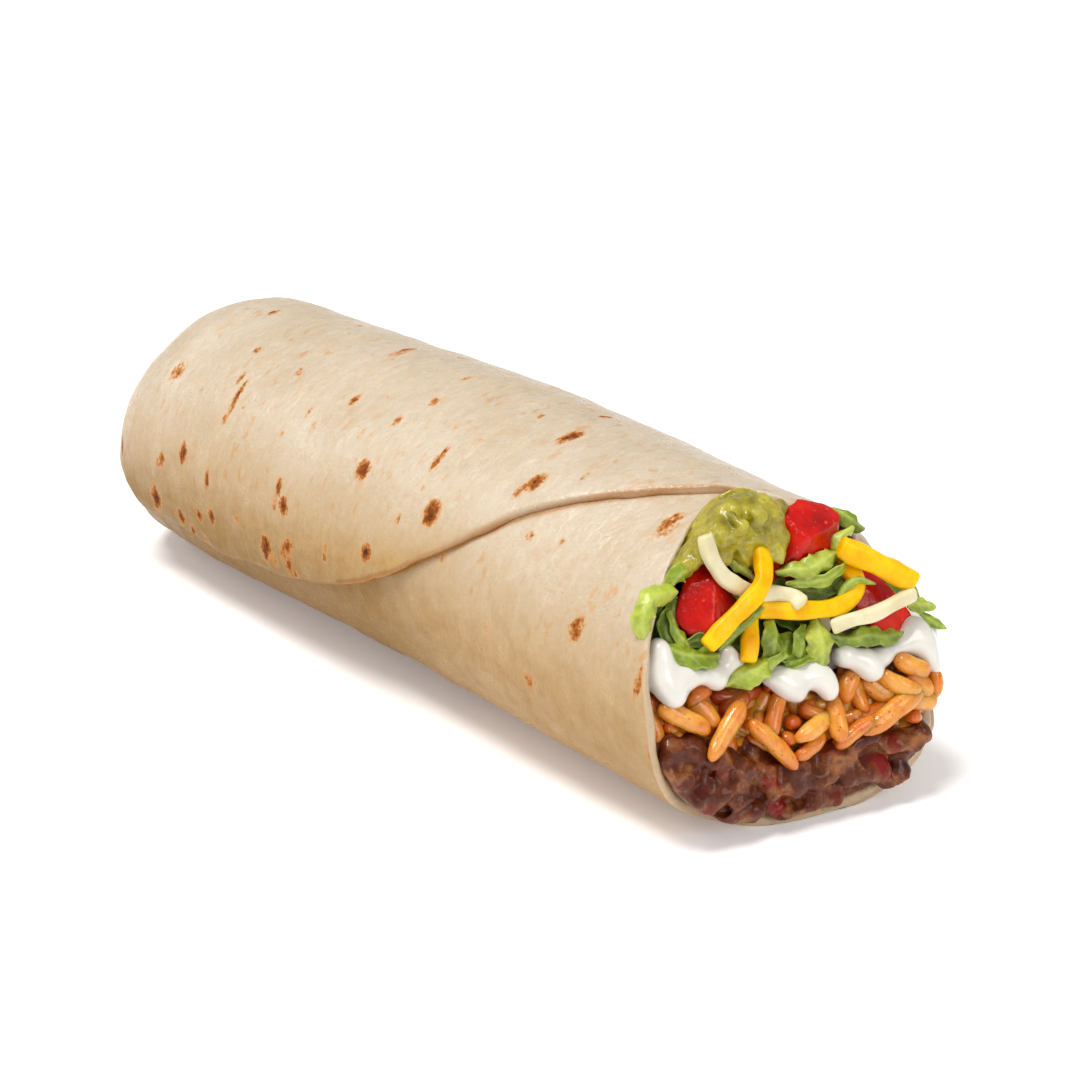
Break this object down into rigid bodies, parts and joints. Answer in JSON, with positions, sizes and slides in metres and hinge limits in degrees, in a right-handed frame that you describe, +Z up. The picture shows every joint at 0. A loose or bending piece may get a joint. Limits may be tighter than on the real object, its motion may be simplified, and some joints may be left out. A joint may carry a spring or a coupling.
{
  "type": "burrito",
  "caption": "Rolled flour-tortilla burrito on its side: folded closed end, open end showing beans, rice, sour cream, lettuce, tomato, shredded cheese and guacamole.",
  "frame": {"origin": "middle of the bounding box, on the surface the burrito rests on", "axes": "+X along the roll toward the open end, +Z up, -Y toward the side with the flap's edge"},
  "size_m": [0.1736, 0.0568, 0.0489],
  "materials": {
    "tortilla": "soft cooked flour tortilla, creamy white with tan freckles and brown toasted spots",
    "beans": "moist brown mashed beans with darker pieces",
    "rice": "moist orange seasoned long-grain rice",
    "sour_cream": "smooth wet white cream",
    "lettuce": "thin crisp green leaves",
    "guacamole": "glossy chunky yellow-green mash",
    "tomato": "wet red tomato flesh",
    "yellow_cheese": "satin yellow-orange cheese",
    "white_cheese": "satin pale cream cheese"
  },
  "bodies": {
    "root": {"tortilla": "tortilla", "beans": "beans", "rice": "rice", "sour_cream": "sour_cream", "salad": "lettuce", "guacamole": "guacamole", "tomato_1": "tomato", "tomato_2": "tomato", "tomato_3": "tomato", "tomato_4": "tomato", "cheddar_1": "yellow_cheese", "cheddar_2": "yellow_cheese", "cheddar_3": "yellow_cheese", "cheddar_4": "yellow_cheese", "white_cheese_1": "white_cheese", "white_cheese_2": "white_cheese", "white_cheese_3": "white_cheese"}
  },
  "joints": []
}
